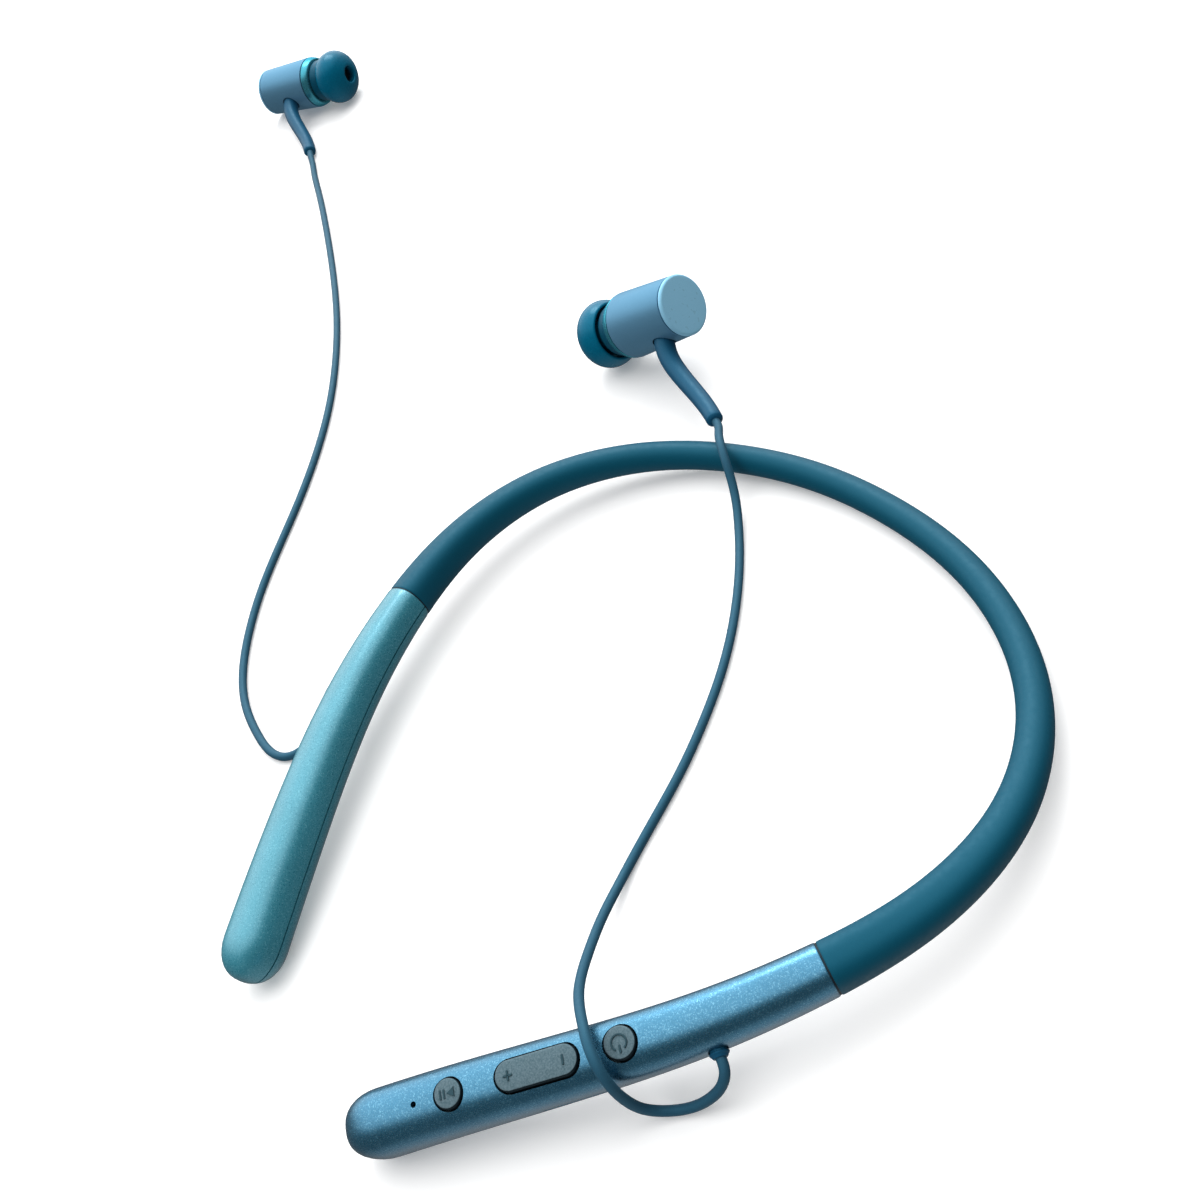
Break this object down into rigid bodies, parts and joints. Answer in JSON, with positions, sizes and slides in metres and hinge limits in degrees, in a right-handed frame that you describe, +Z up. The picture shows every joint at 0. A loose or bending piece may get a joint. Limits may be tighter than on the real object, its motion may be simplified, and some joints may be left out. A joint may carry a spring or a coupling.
{
  "type": "neckband earphones",
  "caption": "Bluetooth neckband earphones: soft arch sleeve, two tapered housings with keys on one, and two cylindrical in-ear buds on thin free cords.",
  "frame": {"origin": "middle of the footprint of everything but the free cords, on the surface that the earphones lie on", "axes": "+X from the left bud towards the housing with the keys, +Y from the housings' tips towards the arch, +Z up"},
  "size_m": [0.374, 0.1885, 0.0237],
  "materials": {
    "sleeve_silicone": "matte",
    "teal_paint": "satin metallic flake",
    "blue_paint": "satin metallic flake",
    "key_rubber": "matte",
    "black_plastic": "matte",
    "bud_metal": "satin anodised",
    "ring_metal": "satin anodised",
    "neck_plastic": "satin",
    "tip_silicone": "gloss",
    "cord_jacket": "matte",
    "steel": "plain",
    "board_green": "solder mask",
    "battery_wrap": "foil"
  },
  "bodies": {
    "band": {"battery": "battery_wrap", "battery_board": "board_green", "left_bottom_shell": "teal_paint", "left_bud_body": "bud_metal", "left_bud_cap": "bud_metal", "left_bud_ring": "ring_metal", "left_cord": "cord_jacket", "left_cord_boot": "cord_jacket", "left_cord_grommet": "black_plastic", "left_driver": "steel", "left_neck_plug": "black_plastic", "left_nozzle": "neck_plastic", "left_nozzle_mesh": "steel", "left_screw_1": "steel", "left_screw_2": "steel", "left_top_shell": "teal_paint", "link_cable": "black_plastic", "main_board": "board_green", "microphone": "steel", "neck_sleeve": "sleeve_silicone", "play_button_switch": "steel", "power_button_switch": "steel", "radio_chip": "black_plastic", "right_bottom_shell": "blue_paint", "right_bud_body": "bud_metal", "right_bud_cap": "bud_metal", "right_bud_ring": "ring_metal", "right_cord": "cord_jacket", "right_cord_boot": "cord_jacket", "right_cord_grommet": "black_plastic", "right_driver": "steel", "right_neck_plug": "black_plastic", "right_nozzle": "neck_plastic", "right_nozzle_mesh": "steel", "right_screw_1": "steel", "right_screw_2": "steel", "right_top_shell": "blue_paint", "spring_wire": "steel", "usb_socket": "steel", "volume_down_switch": "steel", "volume_up_switch": "steel"},
    "power_key": {"power_button": "key_rubber"},
    "rocker_key": {"volume_rocker": "key_rubber"},
    "play_key": {"play_button": "key_rubber"},
    "flap": {"port_flap": "key_rubber"},
    "left_tip": {"left_ear_tip": "tip_silicone"},
    "right_tip": {"right_ear_tip": "tip_silicone"}
  },
  "joints": [
    {"name": "power_press", "type": "slide", "parent": "band", "child": "power_key", "axis": [-0.2157, 0.1749, -0.9607], "range_m": [0, 0.0004], "stiffness_N_per_m": 400},
    {"name": "rocker_tilt", "type": "hinge", "parent": "band", "child": "rocker_key", "pos_m": [0.15662, -0.06309, 0.01192], "axis": [0.8043, -0.5267, -0.2752], "range_deg": [-2.5, 2.5], "stiffness_Nm_per_rad": 0.05},
    {"name": "play_press", "type": "slide", "parent": "band", "child": "play_key", "axis": [-0.18, 0.2242, -0.9578], "range_m": [0, 0.0004], "stiffness_N_per_m": 400},
    {"name": "flap_open", "type": "hinge", "parent": "band", "child": "flap", "pos_m": [0.15936, -0.06055, 0.00376], "axis": [0.5504, 0.832, 0.0698], "range_deg": [0, 95]},
    {"name": "left_tip_pull", "type": "slide", "parent": "band", "child": "left_tip", "axis": [0.8379, 0.5442, 0.0419], "range_m": [0, 0.007]},
    {"name": "right_tip_pull", "type": "slide", "parent": "band", "child": "right_tip", "axis": [-0.847, -0.3771, -0.3746], "range_m": [0, 0.007]}
  ]
}
